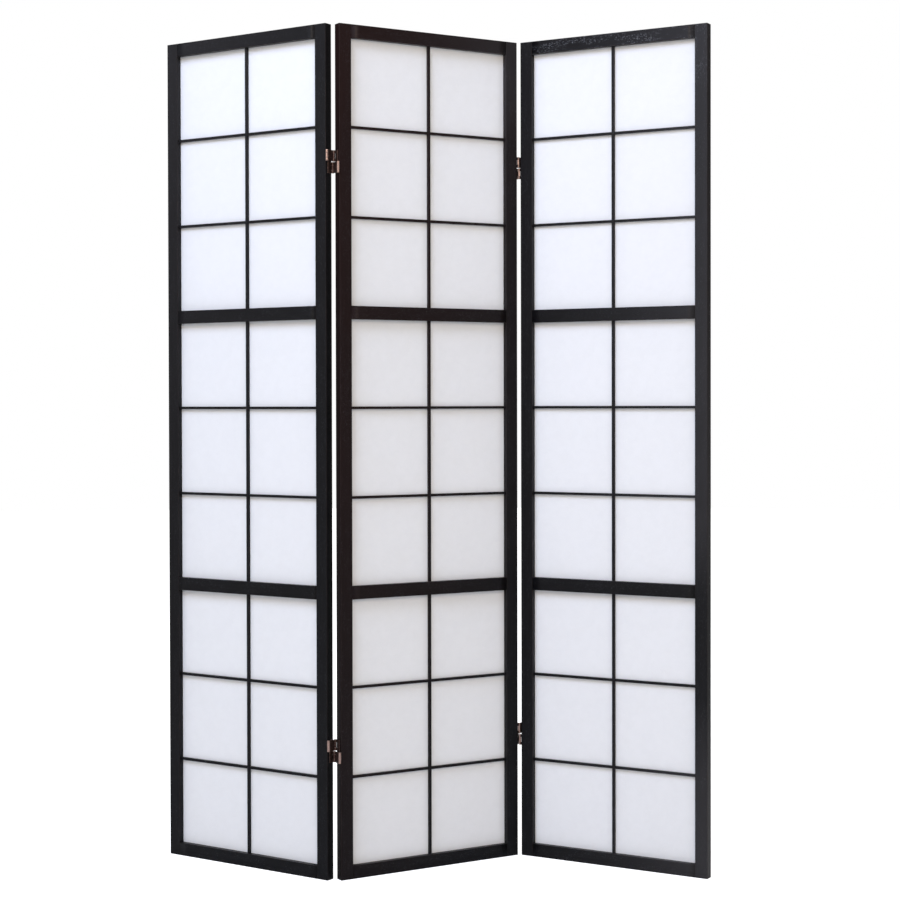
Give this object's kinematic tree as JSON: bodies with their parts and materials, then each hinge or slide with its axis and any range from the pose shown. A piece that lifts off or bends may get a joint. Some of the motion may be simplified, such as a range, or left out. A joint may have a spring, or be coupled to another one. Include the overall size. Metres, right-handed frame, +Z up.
{
  "type": "folding room divider screen",
  "caption": "Folding room divider of papered lattice panels in slim black lacquered wooden frames, joined by double-acting screen hinges.",
  "frame": {"origin": "centre of the footprint's bounding box, on the floor, with the screen standing in a zigzag", "axes": "+X along the screen's run to the right, -Y to its front, +Z up"},
  "size_m": [1.173, 0.2612, 1.79],
  "materials": {
    "frame_lacquer": "black satin lacquer over open-pored wood",
    "lattice_lacquer": "black satin lacquer on thin bars",
    "rice_paper": "matt white fibrous paper",
    "hinge_bronze": "antique bronze plate",
    "hinge_screws": "bronzed steel"
  },
  "bodies": {
    "middle_panel": {"middle_panel_left_stile": "frame_lacquer", "middle_panel_right_stile": "frame_lacquer", "middle_panel_top_rail": "frame_lacquer", "middle_panel_upper_rail": "frame_lacquer", "middle_panel_lower_rail": "frame_lacquer", "middle_panel_bottom_rail": "frame_lacquer", "middle_panel_upright_bars": "lattice_lacquer", "middle_panel_cross_bars": "lattice_lacquer", "middle_panel_paper": "rice_paper", "middle_panel_paper_beads": "lattice_lacquer", "middle_panel_hinge_screws": "hinge_screws", "left_top_hinge_middle_leaf": "hinge_bronze", "left_bottom_hinge_middle_leaf": "hinge_bronze", "right_top_hinge_middle_leaf": "hinge_bronze", "right_bottom_hinge_middle_leaf": "hinge_bronze"},
    "left_panel": {"left_panel_left_stile": "frame_lacquer", "left_panel_right_stile": "frame_lacquer", "left_panel_top_rail": "frame_lacquer", "left_panel_upper_rail": "frame_lacquer", "left_panel_lower_rail": "frame_lacquer", "left_panel_bottom_rail": "frame_lacquer", "left_panel_upright_bars": "lattice_lacquer", "left_panel_cross_bars": "lattice_lacquer", "left_panel_paper": "rice_paper", "left_panel_paper_beads": "lattice_lacquer", "left_panel_hinge_screws": "hinge_screws", "left_top_hinge_side_leaf": "hinge_bronze", "left_bottom_hinge_side_leaf": "hinge_bronze"},
    "right_panel": {"right_panel_left_stile": "frame_lacquer", "right_panel_right_stile": "frame_lacquer", "right_panel_top_rail": "frame_lacquer", "right_panel_upper_rail": "frame_lacquer", "right_panel_lower_rail": "frame_lacquer", "right_panel_bottom_rail": "frame_lacquer", "right_panel_upright_bars": "lattice_lacquer", "right_panel_cross_bars": "lattice_lacquer", "right_panel_paper": "rice_paper", "right_panel_paper_beads": "lattice_lacquer", "right_panel_hinge_screws": "hinge_screws", "right_top_hinge_side_leaf": "hinge_bronze", "right_bottom_hinge_side_leaf": "hinge_bronze"},
    "left_upper_links": {"left_top_hinge_upper_link": "hinge_bronze", "left_bottom_hinge_upper_link": "hinge_bronze", "left_upper_link_pins": "hinge_screws"},
    "left_lower_links": {"left_top_hinge_lower_link": "hinge_bronze", "left_bottom_hinge_lower_link": "hinge_bronze", "left_lower_link_pins": "hinge_screws"},
    "right_upper_links": {"right_top_hinge_upper_link": "hinge_bronze", "right_bottom_hinge_upper_link": "hinge_bronze", "right_upper_link_pins": "hinge_screws"},
    "right_lower_links": {"right_top_hinge_lower_link": "hinge_bronze", "right_bottom_hinge_lower_link": "hinge_bronze", "right_lower_link_pins": "hinge_screws"}
  },
  "joints": [
    {"name": "left_fold", "type": "hinge", "parent": "middle_panel", "child": "left_upper_links", "pos_m": [-0.2021, -0.11059, 0.895], "axis": [0, 0, -1], "range_deg": [-62.4, 110.39]},
    {"name": "left_panel_swing", "type": "hinge", "parent": "left_upper_links", "child": "left_panel", "pos_m": [-0.215, -0.12735, 0.895], "axis": [0, 0, -1], "range_deg": [-2.65, 4.66]},
    {"name": "left_lower_link_swing", "type": "hinge", "parent": "middle_panel", "child": "left_lower_links", "pos_m": [-0.1915, -0.12756, 0.895], "axis": [0, 0, -1], "range_deg": [-2.65, 4.66]},
    {"name": "right_fold", "type": "hinge", "parent": "middle_panel", "child": "right_upper_links", "pos_m": [0.18724, 0.10911, 0.895], "axis": [0, 0, -1], "range_deg": [-58.47, 114.07]},
    {"name": "right_panel_swing", "type": "hinge", "parent": "right_upper_links", "child": "right_panel", "pos_m": [0.19905, 0.12665, 0.895], "axis": [0, 0, -1], "range_deg": [-2.58, 4.98]},
    {"name": "right_lower_link_swing", "type": "hinge", "parent": "middle_panel", "child": "right_lower_links", "pos_m": [0.17664, 0.12607, 0.895], "axis": [0, 0, -1], "range_deg": [-2.58, 4.98]}
  ],
  "couplings": [
    {"joint": "left_panel_swing", "follows": "left_fold", "ratio": 0.041712},
    {"joint": "left_lower_link_swing", "follows": "left_fold", "ratio": 0.041712},
    {"joint": "right_panel_swing", "follows": "right_fold", "ratio": 0.04326},
    {"joint": "right_lower_link_swing", "follows": "right_fold", "ratio": 0.04326}
  ]
}
